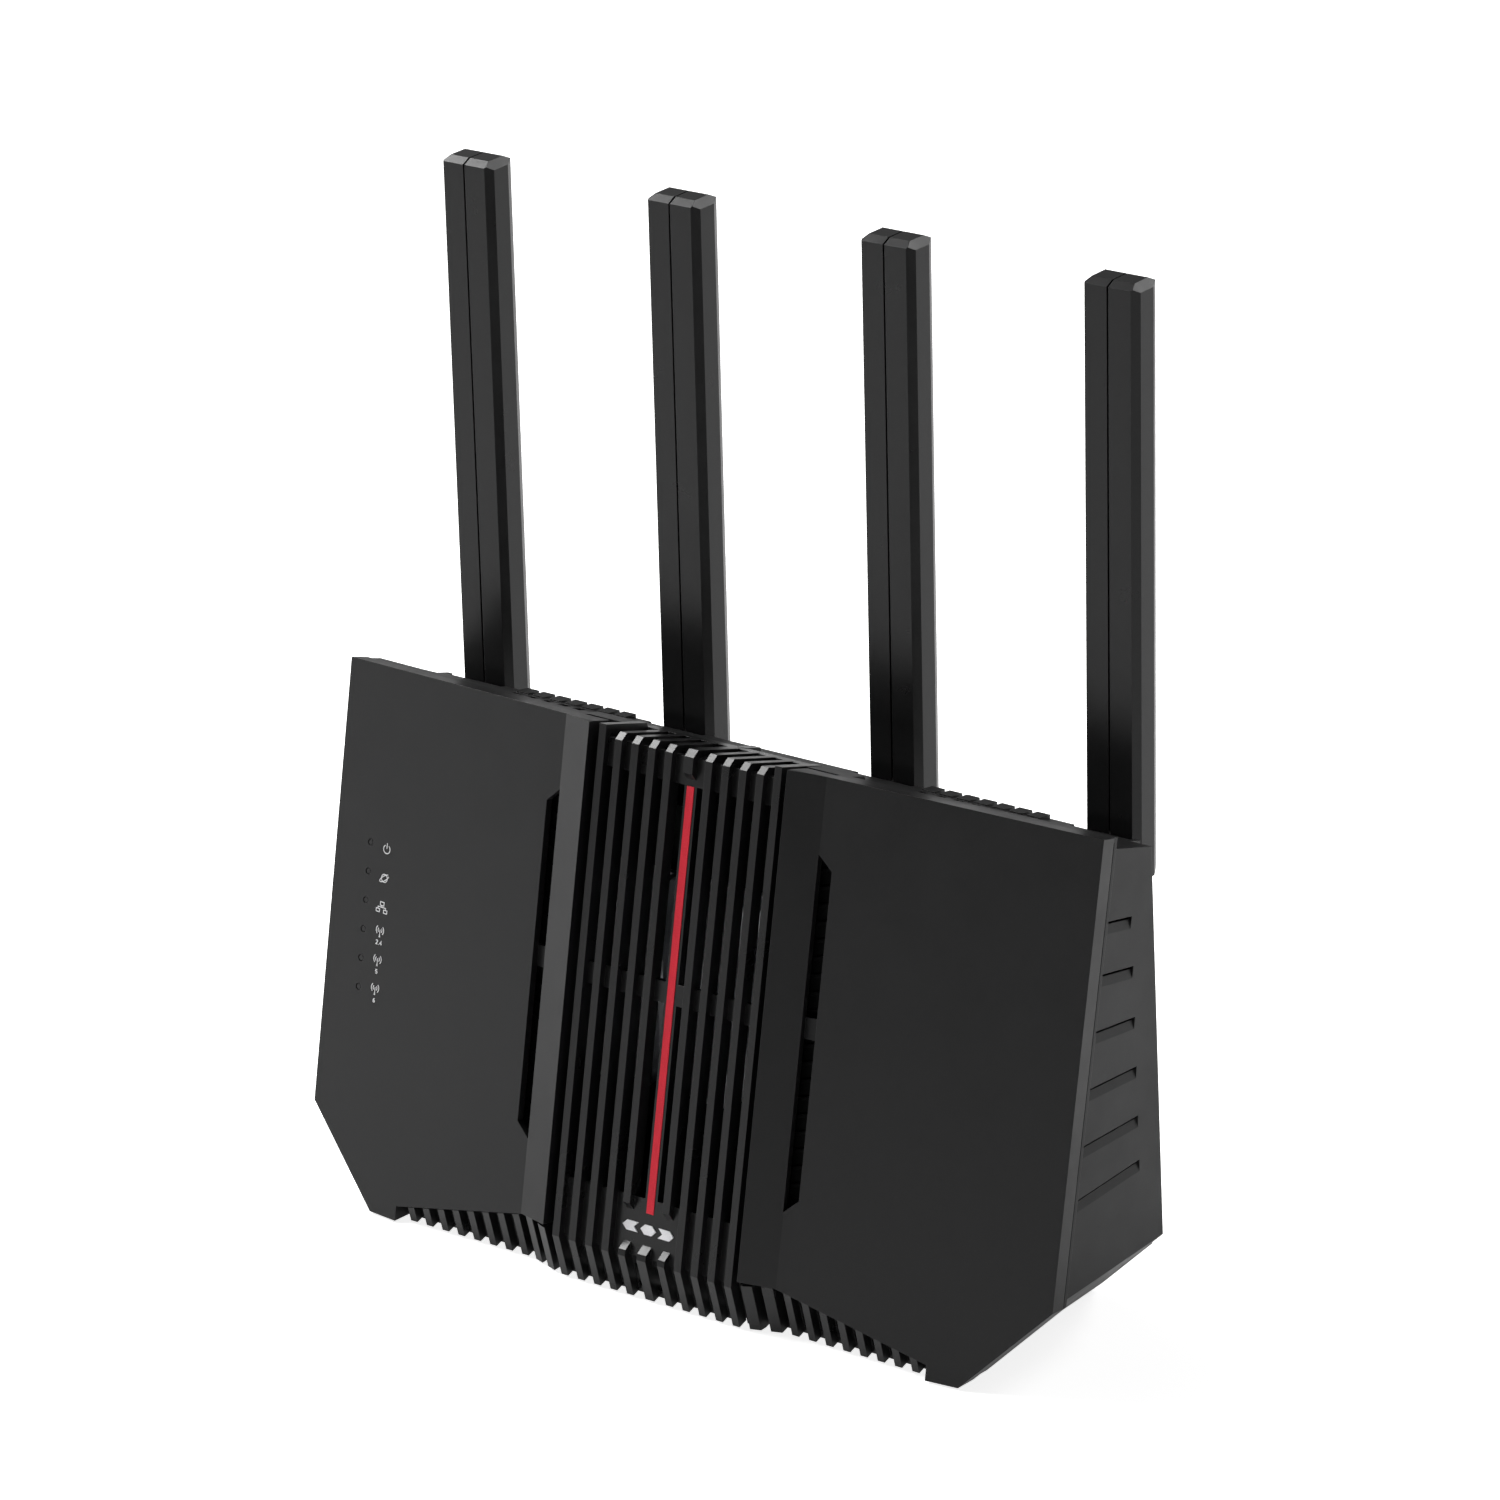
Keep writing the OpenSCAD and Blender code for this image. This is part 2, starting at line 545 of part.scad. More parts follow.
// Socket shells stand on the board and end flush with the back panel.
module jack(x, w) {
  y1 = panel_y(socket_z + 6.5) - 0.2;
  difference() {
    translate([x - w / 2, board_y + 1.6, socket_z - 6.4]) cube([w, y1 - board_y - 1.6, 12.8]);
    translate([x - 6, y1 - 14, socket_z - 4.6]) cube([12, 20, 7.2]);
    translate([x - 3.2, y1 - 14, socket_z + 2.5]) cube([6.4, 20, 2.4]);
  }
}

module wan_socket() color([0.10, 0.22, 0.55]) placed() jack(wan_x, 14.2);
module lan_sockets() color([0.85, 0.65, 0.12]) placed() for (i = [0 : 3])
  jack(lan_x - 22.2 + i * 14.8, 14.8);

module socket_contacts() color(gold) placed() {
  y1 = panel_y(socket_z + 6.5) - 0.2;
  for (x = [wan_x, lan_x - 22.2, lan_x - 7.4, lan_x + 7.4, lan_x + 22.2], i = [0 : 7])
    translate([x - 3.71 + i * 1.02, 0, 0]) side_profile(0, 0.3, [[y1 - 14, socket_z - 4.3],
      [y1 - 5, socket_z - 4.6], [y1 - 5, socket_z - 4.2], [y1 - 13.5, socket_z - 2.4],
      [y1 - 14, socket_z - 2.4]]);
}

module usb_socket() color(steel) placed() {
  y1 = panel_y(socket_z + 3.7) - 0.2;
  difference() {
    translate([usb_x - 7.2, board_y + 1.6, socket_z - 3.6]) cube([14.4, y1 - board_y - 1.6, 7.2]);
    translate([usb_x - 6.5, y1 - 13, socket_z - 2.7]) cube([13, 20, 5.4]);
  }
  translate([usb_x - 5.6, y1 - 13.2, socket_z + 0.2]) cube([11.2, 8.2, 1.9]);
}

module dc_inlet() color(black) placed() translate([dc_x, 0, socket_z]) {
  y1 = panel_y(socket_z + 5) - 0.2;
  difference() {
    union() {
      translate([0, 62, 0]) rotate([-90, 0, 0]) cylinder(r = 4.9, h = y1 - 62, $fn = 48);
      translate([-5.5, board_y + 1.6, -5.5]) cube([11, 62.5 - board_y - 1.6, 11]);
    }
    translate([0, y1 - 9.5, 0]) rotate([-90, 0, 0]) cylinder(r = 3.2, h = 12, $fn = 48);
  }
  translate([0, y1 - 9.7, 0]) rotate([-90, 0, 0]) cylinder(r = 1.05, h = 8.6, $fn = 32);
}

// ---- Buttons ----
// Round key that runs from `back` behind the panel's face to `out` in front of it.
module plunger(x, r, out, back, flange) {
  translate([x, panel_y(socket_z) - back, socket_z]) rotate([-90, 0, 0])
    cylinder(r = r, h = back + out, $fn = 40);
  translate([x, panel_y(socket_z) - 4.4, socket_z]) rotate([-90, 0, 0])
    cylinder(r = r + flange, h = 1.2, $fn = 40);
}

module power_button() color(black) placed() plunger(power_x, 4.15, 2.6, power_back, 1.6);
module pairing_button() color(black) placed() plunger(pair_x, 2.9, 1.2, key_back, 1.4);
module reset_button() color([0.65, 0.1, 0.1]) placed() plunger(reset_x, 1.42, -0.8, key_back, 1.4);

// Switch on the board, with its stem just behind the fully pressed key.
module button_switch(x, w, back, travel) {
  tip = panel_y(socket_z) - back - travel - 0.3;
  translate([x - w / 2, board_y + 1.6, socket_z - w / 2]) cube([w, tip - 3 - board_y - 1.6, w]);
  translate([x, tip - 3.1, socket_z]) rotate([-90, 0, 0]) cylinder(r = w / 4, h = 3.1, $fn = 32);
}

module button_switches() color(steel) placed() {
  button_switch(power_x, 8.5, power_back, power_travel);
  button_switch(pair_x, 6, key_back, key_travel);
  button_switch(reset_x, 6, key_back, key_travel);
}

// ---- Feet ----
module rubber_feet() color(black) placed() for (x = [-88, 88], y = [24, 64])
  translate([x, y, -foot_lift]) cylinder(r = 6.5, h = foot_lift + belly_z, $fn = 64);

// ---- Antenna leads inside the housing ----
module lead() {
  translate([0, board_y + 1.6, 113]) rotate([-90, 0, 0]) cylinder(r = 0.65, h = 4.4, $fn = 24);
  translate([0, 56, 115]) rotate([0, -90, 0]) rotate_extrude(angle = -90, $fn = 48)
    translate([-2, 0]) circle(r = 0.65, $fn = 24);
  translate([0, 58, 115]) cylinder(r = 0.65, h = 16, $fn = 24);
}

module antenna_leads() color(black) placed() for (i = [1 : 4])
  translate([antenna_x(i) + 5.2, 0, 0]) lead();

// ---- Antenna blades ----
// Upright: the hinge pin runs across, near the rounded lower end.
function blade_half() = let (w = blade_width / 2, d = blade_depth)
  [[0.28, 0], [w - 1.25, 0], [w, 2.8], [w, d - 2.8], [w - 1.25, d], [0.28, d]];

module blade_shell(i) {
  w = blade_width / 2;
  d = blade_depth;
  translate([antenna_x(i), blade_y, 0]) difference() {
    intersection() {
      linear_extrude(blade_top) polygon(blade_half());
      // bevelled top and rounded lower end, seen from the side
      side_profile(0, w + 1, concat([[2.75, blade_top], [0, blade_top - 1.3]],
        [for (a = [180 : 7.5 : 270]) [d / 2 + d / 2 * cos(a), pin_z + d / 2 * sin(a)]],
        [for (a = [270 : 15 : 360]) [d - heel + heel * cos(a), pin_z - d / 2 + heel + heel * sin(a)]],
        [[d, blade_top - 1.3], [d - 2.75, blade_top]]));
      // bevelled top, seen from the front
      translate([0, -1, 0]) rotate([90, 0, 0]) mirror([0, 0, 1]) linear_extrude(d + 2)
        polygon([[0.28, 100], [w, 100], [w, blade_top - 2.3], [w - 1.85, blade_top],
          [0.28, blade_top]]);
    }
    // bay for the radiator and its carrier
    translate([-1, 2.6, 143]) cube([w - 0.9, d - 5.2, 142]);
    // fork around the hinge lug
    translate([-1, -1, 100]) cube([3.72, d + 2, pin_z - 100 + 7.2]);
    // bore for the pressed pin
    translate([0, pin_y - blade_y, pin_z]) rotate([0, 90, 0])
      cylinder(r = 1.5, h = w - 0.9, $fn = 48);
  }
}

module blade_core(i) translate([antenna_x(i), blade_y, 0]) {
  translate([-5.4, 3.4, 144]) cube([10.8, 5, 140]);
  translate([-0.27, 0.7, pin_z + 8]) cube([0.54, blade_depth - 1.4, blade_top - pin_z - 10.2]);
}

module blade_pin(i) translate([antenna_x(i) - 7.4, pin_y, pin_z]) rotate([0, 90, 0])
  cylinder(r = 1.5, h = 14.8, $fn = 48);

module left_shell(i) color(dark) placed() translate([2 * antenna_x(i), 0, 0])
  mirror([1, 0, 0]) blade_shell(i);
module right_shell(i) color(dark) placed() blade_shell(i);
module core(i) color(black) placed() blade_core(i);
module pin(i) color(steel) placed() blade_pin(i);

module antenna_1_left_shell() left_shell(1);
module antenna_1_right_shell() right_shell(1);
module antenna_1_core() core(1);
module antenna_1_pin() pin(1);
module antenna_2_left_shell() left_shell(2);
module antenna_2_right_shell() right_shell(2);
module antenna_2_core() core(2);
module antenna_2_pin() pin(2);
module antenna_3_left_shell() left_shell(3);
module antenna_3_right_shell() right_shell(3);
module antenna_3_core() core(3);
module antenna_3_pin() pin(3);
module antenna_4_left_shell() left_shell(4);
module antenna_4_right_shell() right_shell(4);
module antenna_4_core() core(4);
module antenna_4_pin() pin(4);

left_cover();
right_cover();
centre_grille();
left_intake();
right_intake();
left_slot_insert();
right_slot_insert();
light_strip();
strip_led_board();
front_badge();
status_light_pipes();
status_led_board();
mid_frame();
rear_housing();
back_panel();
main_board();
heatsink();
shield_cans();
board_chips();
lan_sockets();
wan_socket();
usb_socket();
dc_inlet();
socket_contacts();
power_button();
pairing_button();
reset_button();
button_switches();
rubber_feet();
panel_screws();
rating_label();
antenna_leads();
antenna_1_left_shell();
antenna_1_right_shell();
antenna_1_core();
antenna_1_pin();
antenna_2_left_shell();
antenna_2_right_shell();
antenna_2_core();
antenna_2_pin();
antenna_3_left_shell();
antenna_3_right_shell();
antenna_3_core();
antenna_3_pin();
antenna_4_left_shell();
antenna_4_right_shell();
antenna_4_core();
antenna_4_pin();
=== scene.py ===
"""Looks of the wireless router: plastics, printed marks, floor, light and camera."""

from math import cos, radians, sin

import bpy
from mathutils import Matrix, Vector


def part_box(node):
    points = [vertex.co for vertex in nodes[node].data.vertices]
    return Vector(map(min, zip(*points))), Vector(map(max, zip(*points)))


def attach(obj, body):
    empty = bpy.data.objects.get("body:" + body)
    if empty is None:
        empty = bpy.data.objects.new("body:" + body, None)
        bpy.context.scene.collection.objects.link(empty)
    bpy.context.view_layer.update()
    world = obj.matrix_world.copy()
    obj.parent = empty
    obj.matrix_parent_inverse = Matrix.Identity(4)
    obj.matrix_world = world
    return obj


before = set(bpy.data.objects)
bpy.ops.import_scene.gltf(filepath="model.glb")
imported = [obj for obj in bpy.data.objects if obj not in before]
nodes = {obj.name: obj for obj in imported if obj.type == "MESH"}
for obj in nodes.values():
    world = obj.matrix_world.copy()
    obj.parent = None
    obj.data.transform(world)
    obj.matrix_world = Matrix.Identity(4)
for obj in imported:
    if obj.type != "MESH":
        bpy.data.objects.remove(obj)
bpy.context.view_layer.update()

MM = 0.001
ANTENNAS = [f"antenna_{i}" for i in range(1, 5)]


# ---- Shader nodes ----
# Most values of a noise texture lie between these.
NOISE_LOW, NOISE_HIGH = 0.3, 0.7
# How far the rounded and the flat normal agree where an edge starts and where it is full.
EDGE_START, EDGE_FULL = 0.998, 0.90


class NodeTree:
    """Short calls that add and join shader nodes."""

    def __init__(self, tree):
        self.tree = tree

    def feed(self, target, value):
        """Join a socket to an input, or set the input to a value."""
        if isinstance(value, bpy.types.NodeSocket):
            self.tree.links.new(value, target)
        else:
            target.default_value = value

    def add(self, kind, inputs=None, **settings):
        """A new node, with its inputs by name or number and its settings."""
        made = self.tree.nodes.new(kind)
        for key, value in settings.items():
            setattr(made, key, value)
        for key, value in (inputs or {}).items():
            self.feed(made.inputs[key], value)
        return made

    def ramp(self, fac, low, high, start=0.0, end=1.0, **settings):
        """fac from start to end becomes a value from low to high."""
        ends = {"Value": fac, "From Min": start, "From Max": end, "To Min": low, "To Max": high}
        return self.add("ShaderNodeMapRange", ends, clamp=True, **settings).outputs["Result"]

    def mix(self, fac, a, b):
        """Colour a where fac is 0, b where it is 1. Each is a colour or a socket."""
        made = self.add("ShaderNodeMix", {"Factor": fac}, data_type="RGBA")
        for key, value in (("A", a), ("B", b)):
            target = next(s for s in made.inputs if s.name == key and s.type == "RGBA")
            self.feed(target, value if isinstance(value, bpy.types.NodeSocket) else (*value, 1))
        return next(s for s in made.outputs if s.type == "RGBA")


class Shader(NodeTree):
    """The node tree of a new material, around one Principled shader."""

    def __init__(self, name):
        self.material = bpy.data.materials.new(name)
        self.material.use_nodes = True
        super().__init__(self.material.node_tree)
        self.shader = self.tree.nodes["Principled BSDF"]
        self.coords = self.add("ShaderNodeTexCoord").outputs["Object"]

    def noise(self, scale, detail=2.0, roughness=0.5, vector=None):
        """Noise whose features are about 1/scale metres across."""
        inputs = {"Scale": scale, "Detail": detail, "Roughness": roughness, "Vector": vector or self.coords}
        return self.add("ShaderNodeTexNoise", inputs).outputs["Fac"]

    def edges(self, radius):
        """1 on edges and corners, 0 on flat faces, and the rounded normal."""
        rounded = self.add("ShaderNodeBevel", {"Radius": radius}, samples=6).outputs["Normal"]
        flat = self.add("ShaderNodeNewGeometry").outputs["Normal"]
        agree = self.add("ShaderNodeVectorMath", {0: rounded, 1: flat}, operation="DOT_PRODUCT")
        return self.ramp(agree.outputs["Value"], 1.0, 0.0, EDGE_FULL, EDGE_START), rounded

    def surface(self, **values):
        """Values or sockets for the shader's own inputs."""
        for key, value in values.items():
            self.feed(self.shader.inputs[key.replace("_", " ")], value)

    def bump(self, height, strength, distance, normal=None):
        inputs = {"Height": height, "Strength": strength, "Distance": distance}
        if normal:
            inputs["Normal"] = normal
        self.surface(Normal=self.add("ShaderNodeBump", inputs).outputs["Normal"])


def shade(colour, factor):
    """A colour made darker or paler, up to full white."""
    return tuple(min(1.0, c * factor) for c in colour)


# ---- Materials. Lengths are in mm, and grain and scale in features per metre. ----
# Plastic: its patches per metre with their darkest and palest shade, the most that a speckle shows
# and its shade, how far the roughness varies, and how strongly the grain tilts the surface.
MOTTLE_SCALE, MOTTLE_SHADES = 70.0, (0.92, 1.08)
SPECKLE_MOST, SPECKLE_SHADE = 0.35, 1.5
ROUGHNESS_SPREAD = 0.04
GRAIN_STRENGTH = 0.35
# Metal: its patches per metre with their shades, and its edges' width and the shade of their painted
# highlight.
PATCH_SCALE, PATCH_SHADES = 150.0, (0.85, 1.1)
METAL_EDGE, METAL_EDGE_HIGHLIGHT = 0.15, 1.25


def moulded(name, colour, roughness, grain=2600.0, depth=0.018, edge=0.2, edge_highlight=1.9, specular=0.29):
    """Moulded plastic: a spark-eroded grain, faint mottling, pale speckles and paler edges that are a
    painted highlight.
    """
    s = Shader(name)
    mottle = s.noise(MOTTLE_SCALE, 3.0, 0.6)
    fine = s.noise(grain, 2.0, 0.6)
    highlight_mask, rounded = s.edges(edge * MM)
    dark, pale = (shade(colour, factor) for factor in MOTTLE_SHADES)
    base = s.mix(s.ramp(mottle, 0.0, 1.0, NOISE_LOW, NOISE_HIGH), dark, pale)
    speckles = s.ramp(fine, 0.0, SPECKLE_MOST, 0.45, 0.75)
    speckled = s.mix(speckles, base, shade(colour, SPECKLE_SHADE))
    smooth, rough = roughness - ROUGHNESS_SPREAD, roughness + ROUGHNESS_SPREAD
    # Edges are painted paler than the colour: a painted highlight along them.
    s.surface(Base_Color=s.mix(highlight_mask, speckled, shade(colour, edge_highlight)),
              Roughness=s.ramp(mottle, smooth, rough, NOISE_LOW, NOISE_HIGH),
              Specular_IOR_Level=specular)
    s.bump(fine, GRAIN_STRENGTH, depth * MM, rounded)
    return s.material


def metal(name, colour, roughness, stretch=(1.0, 1.0, 12.0), scale=900.0):
    """Rolled, drawn or ground metal: fine scratches across the stretched axis, and darker patches."""
    s = Shader(name)
    across = s.add("ShaderNodeMapping", {"Vector": s.coords, "Scale": stretch}).outputs["Vector"]
    scratches = s.noise(scale, 4.0, vector=across)
    highlight_mask, rounded = s.edges(METAL_EDGE * MM)
    dark, pale = (shade(colour, factor) for factor in PATCH_SHADES)
    base = s.mix(s.noise(PATCH_SCALE, 3.0), dark, pale)
    # Edges are painted paler than the colour: a painted highlight along them.
    s.surface(Base_Color=s.mix(highlight_mask, base, shade(colour, METAL_EDGE_HIGHLIGHT)),
              Roughness=s.ramp(scratches, roughness - 0.08, roughness + 0.12, NOISE_LOW, NOISE_HIGH),
              Metallic=1.0)
    s.bump(scratches, 0.25, 0.01 * MM, rounded)
    return s.material


def circuit_board(name):
    """Solder mask over squares of copper track, with an uneven gloss."""
    s = Shader(name)
    squares = s.add("ShaderNodeTexVoronoi", {"Vector": s.coords, "Scale": 260.0},
                    distance="CHEBYCHEV", feature="F1")
    tracks = s.ramp(squares.outputs["Distance"], 0.0, 1.0, 0.42, 0.46)
    s.surface(Base_Color=s.mix(tracks, (0.003, 0.005, 0.004), (0.006, 0.010, 0.008)),
              Roughness=s.ramp(s.noise(500.0), 0.40, 0.55),
              Specular_IOR_Level=0.2)
    s.bump(tracks, 0.3, 0.03 * MM)
    return s.material


def printed_label(name):
    """Pale film with plain dark rules, and no wording."""
    s = Shader(name)
    rule_gap = 1.1 * MM
    height = s.add("ShaderNodeSeparateXYZ", {"Vector": s.coords}).outputs["Z"]
    wave = s.add("ShaderNodeMath", {0: height, 1: rule_gap}, operation="PINGPONG").outputs["Value"]
    rules = s.ramp(wave, 1.0, 0.0, 0.28 * MM, 0.34 * MM)
    printed = s.ramp(s.noise(90.0, 1.0), 0.0, 1.0, 0.50, 0.52)
    dark = s.add("ShaderNodeMath", {0: rules, 1: printed}, operation="MULTIPLY").outputs["Value"]
    s.surface(Base_Color=s.mix(dark, (0.52, 0.52, 0.53), (0.10, 0.10, 0.11)),
              Roughness=s.ramp(s.noise(600.0), 0.35, 0.5))
    s.bump(s.noise(1500.0), 0.1, 0.01 * MM)
    return s.material


COVER_BLACK = (0.0085, 0.0085, 0.0088)
COVER = moulded("cover_plastic", COVER_BLACK, 0.40, specular=0.27)
GRILLE = moulded("grille_plastic", COVER_BLACK, 0.30, edge=0.12)
HOUSING = moulded("housing_plastic", (0.0105, 0.0105, 0.0108), 0.45, grain=2000.0, depth=0.025)
PANEL = moulded("panel_plastic", (0.0100, 0.0100, 0.0103), 0.45, grain=2000.0, depth=0.025)
# Near-black for the mid frame and the slot inserts: painted shade in the parting groove and in the slots.
GAP_SHADE = moulded("vent_plastic", (0.0022, 0.0022, 0.0023), 0.55, specular=0.12)
BLADE = moulded("antenna_plastic", (0.0068, 0.0068, 0.0071), 0.31, edge=0.15, specular=0.26)
# Near-black for the antenna cores: painted shade in the seam between the shells.
SEAM_SHADE = moulded("carrier_plastic", (0.003, 0.003, 0.003), 0.6)
RED = moulded("red_strip", (0.64, 0.015, 0.035), 0.5, grain=3000.0, depth=0.008, edge_highlight=1.1)
BADGE = moulded("badge_ink", (0.78, 0.78, 0.80), 0.35, depth=0.004, edge_highlight=1.0)
INK = moulded("mark_ink", (0.62, 0.62, 0.63), 0.5, depth=0.004, edge=0.03, edge_highlight=1.0)
SMOKED = moulded("light_pipe", (0.0070, 0.0070, 0.0073), 0.30, depth=0.004, edge_highlight=1.2)
RESIN = moulded("chip_resin", (0.016, 0.016, 0.018), 0.5)
YELLOW = moulded("lan_yellow", (0.70, 0.42, 0.03), 0.35, depth=0.006, edge_highlight=1.1)
BLUE = moulded("wan_blue", (0.02, 0.09, 0.42), 0.35, depth=0.006, edge_highlight=1.2)
INLET = moulded("inlet_plastic", (0.012, 0.012, 0.013), 0.30, depth=0.006)
BUTTON = moulded("button_plastic", (0.022, 0.022, 0.023), 0.36)
RESET = moulded("reset_plastic", (0.40, 0.02, 0.02), 0.4)
RUBBER = moulded("foot_rubber", (0.016, 0.016, 0.016), 0.75, grain=1500.0, depth=0.05)
JACKET = moulded("lead_jacket", (0.012, 0.012, 0.013), 0.35, depth=0.006)
BOARD = circuit_board("circuit_board")
LABEL = printed_label("label_film")
ALLOY = metal("heatsink_alloy", (0.52, 0.53, 0.55), 0.38)
SHEET_STEEL = metal("shield_steel", (0.55, 0.56, 0.58), 0.30)
SOCKET_STEEL = metal("socket_steel", (0.60, 0.61, 0.63), 0.28)
GOLD = metal("contact_gold", (0.80, 0.56, 0.20), 0.22, scale=2500.0)
SCREW = metal("screw_steel", (0.09, 0.09, 0.10), 0.35)
HINGE = metal("hinge_steel", (0.50, 0.51, 0.53), 0.25, stretch=(12.0, 1.0, 1.0))

FINISHES = {
    "left_cover": COVER, "right_cover": COVER, "centre_grille": GRILLE, "left_intake": GRILLE,
    "right_intake": GRILLE, "left_slot_insert": GAP_SHADE, "right_slot_insert": GAP_SHADE,
    "light_strip": RED, "strip_led_board": BOARD, "front_badge": BADGE,
    "status_light_pipes": SMOKED, "status_led_board": BOARD, "mid_frame": GAP_SHADE,
    "rear_housing": HOUSING, "back_panel": PANEL, "main_board": BOARD, "heatsink": ALLOY,
    "shield_cans": SHEET_STEEL, "board_chips": RESIN, "lan_sockets": YELLOW, "wan_socket": BLUE,
    "usb_socket": SOCKET_STEEL, "dc_inlet": INLET, "socket_contacts": GOLD,
    "power_button": BUTTON, "pairing_button": BUTTON, "reset_button": RESET,
    "button_switches": SHEET_STEEL, "rubber_feet": RUBBER, "panel_screws": SCREW,
    "rating_label": LABEL, "antenna_leads": JACKET,
}
for antenna in ANTENNAS:
    FINISHES[f"{antenna}_left_shell"] = BLADE
    FINISHES[f"{antenna}_right_shell"] = BLADE
    FINISHES[f"{antenna}_core"] = SEAM_SHADE
    FINISHES[f"{antenna}_pin"] = HINGE

for name, node in nodes.items():
    node.data.materials.clear()
    node.data.materials.append(FINISHES[name])


# ---- Strokes of the marks, in mm around each mark's centre ----
def arc(cx, cy, r, start, end, steps=14, squeeze=1.0):
    """Points along an arc from one angle to another, with its height squeezed."""
    angles = [radians(start + (end - start) * i / steps) for i in range(steps + 1)]
    return [(cx + r * cos(a), cy + squeeze * r * sin(a)) for a in angles]


def outline(x0, y0, x1, y1):
    """A rectangle's outline from two opposite corners."""
    return [(x0, y0), (x1, y0), (x1, y1), (x0, y1), (x0, y0)]


def turned(points, angle):
    c, s = cos(radians(angle)), sin(radians(angle))
    return [(x * c - y * s, x * s + y * c) for x, y in points]


def moved(strokes, dx, dy, scale=1.0):
    return [[(x * scale + dx, y * scale + dy) for x, y in stroke] for stroke in strokes]


DIGITS = {
    "2": [[(-0.5, 0.75), (-0.3, 1.0), (0.3, 1.0), (0.5, 0.7), (0.4, 0.3), (-0.5, -0.8), (0.55, -0.8)]],
    "4": [[(0.25, -0.8), (0.25, 1.0), (-0.6, -0.25), (0.6, -0.25)]],
    "5": [[(0.5, 1.0), (-0.4, 1.0), (-0.5, 0.2), (0.3, 0.25), (0.55, -0.2), (0.35, -0.7), (-0.5, -0.75)]],
    "6": [[(0.4, 1.0), (-0.2, 0.8), (-0.5, 0.0), (-0.4, -0.6), (0.0, -0.8), (0.45, -0.6), (0.5, -0.1),
           (0.1, 0.2), (-0.45, 0.0)]],
    ".": [[(-0.1, -0.8), (0.1, -0.8)]],
}


def number(digits, size=0.62, pitch=1.25):
    """A number's strokes, centred. size is their scale, and pitch their distance before scaling."""
    start = -(len(digits) - 1) * pitch * size / 2
    return [stroke for i, digit in enumerate(digits)
            for stroke in moved(DIGITS[digit], start + i * pitch * size, 0, size)]


def waves(digits):
    """A mast with two waves on each side, above a number."""
    sides = ((-48, 48), (132, 228))
    mast = [[(0, 0.75), (0, -0.4)], [(-0.16, -1.5), (0, -0.1), (0.16, -1.5)]]
    arcs = [arc(0, 0.55, r, a, b, 8) for r in (0.75, 1.45) for a, b in sides]
    return moved(arcs + mast, 0, 1.2) + moved(number(digits), 0, -1.9)


MARKS = {
    "mark_power": [arc(0, 0, 1.25, 122, 418), [(0, 0.15), (0, 1.75)]],
    "mark_orbit": [arc(0, 0, 1.15, 0, 360, 20), turned(arc(0, 0, 2.0, 25, 335, 24, 0.32), 35)],
    "mark_network": [
        outline(-0.7, 0.5, 0.7, 1.5), outline(-2.1, -1.5, -0.8, -0.6), outline(2.1, -1.5, 0.8, -0.6),
        [(0, 0.5), (0, 0), (-1.45, 0), (-1.45, -0.6)], [(0, 0), (1.45, 0), (1.45, -0.6)]],
    "mark_waves_low": waves("2.4"),
    "mark_waves_mid": waves("5"),
    "mark_waves_high": waves("6"),
}


# ---- Printed marks on the left wing, one beside each status light ----
STROKE_WIDTH = 0.26
INK_HEIGHT = 0.03
# Each stroke stands this much prouder than the one before, so that none share a face.
STROKE_STEP = 0.002
# The distance between lights up the wing, and how far the wing leans back, in degrees.
LIGHT_SPACING = 8.36
WING_LEAN = 11.6
# From the light pipes' left edge and top to the first mark's centre.
MARK_RIGHT = 8.0
MARK_DOWN = 4.3


def new_object(name, data):
    made = bpy.data.objects.new(name, data)
    bpy.context.scene.collection.objects.link(made)
    return made


def face_frame(node, facing):
    """Point, right and up vectors and normal of a node's largest flat area that faces a way."""
    areas = {}
    for face in node.data.polygons:
        if face.normal.dot(facing) > 0.9:
            plane = (*(round(c, 2) for c in face.normal), round(face.center.dot(face.normal) / MM))
            found = areas.setdefault(plane, [0.0, Vector(), face.center.copy()])
            found[0] += face.area
            found[1] += face.normal * face.area
    _, normal, point = max(areas.values(), key=lambda found: found[0])
    normal = normal.normalized()
    right = Vector((0, 0, 1)).cross(normal).normalized()
    return point, right, normal.cross(right), normal


def on_plane(point, normal, x, z):
    """The point of the plane at a given x and z."""
    y = point.y - (normal.x * (x - point.x) + normal.z * (z - point.z)) / normal.y
    return Vector((x, y, z))


def ribbon(points, width, height):
    """Vertices and faces of a flat ribbon with square ends along a plane stroke."""
    points = [Vector(p) for p in points]
    last = len(points) - 1
    verts, faces = [], []
    for i, p in enumerate(points):
        before = (p - points[i - 1] if i else points[1] - p).normalized()
        after = (points[i + 1] - p).normalized() if i < last else before
        along = (before + after).normalized()
        side = Vector((-along.y, along.x)) * width / 2 / max(0.5, along.dot(after))
        verts += [(*(p + side), 0), (*(p - side), 0), (*(p + side), height), (*(p - side), height)]
    for a in range(0, 4 * last, 4):
        b = a + 4
        faces += [(a + 2, a + 3, b + 3, b + 2), (a + 1, a, b, b + 1),
                  (a, a + 2, b + 2, b), (a + 3, a + 1, b + 1, b + 3)]
    end = 4 * last
    faces += [(0, 1, 3, 2), (end + 1, end, end + 2, end + 3)]
    return verts, faces


def print_mark(name, strokes, centre, right, up, normal):
    """One mark on a flat face, raised by its ink above it."""
    verts, faces = [], []
    for i, stroke in enumerate(strokes):
        stroke_verts, stroke_faces = ribbon(stroke, STROKE_WIDTH, INK_HEIGHT + STROKE_STEP * i)
        faces += [tuple(corner + len(verts) for corner in face) for face in stroke_faces]
        verts += stroke_verts
    mesh = bpy.data.meshes.new(name)
    mesh.from_pydata([centre + (right * x + up * y + normal * z) * MM for x, y, z in verts], [], faces)
    mesh.materials.append(INK)
    piece = new_object(name, mesh)
    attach(piece, "body")


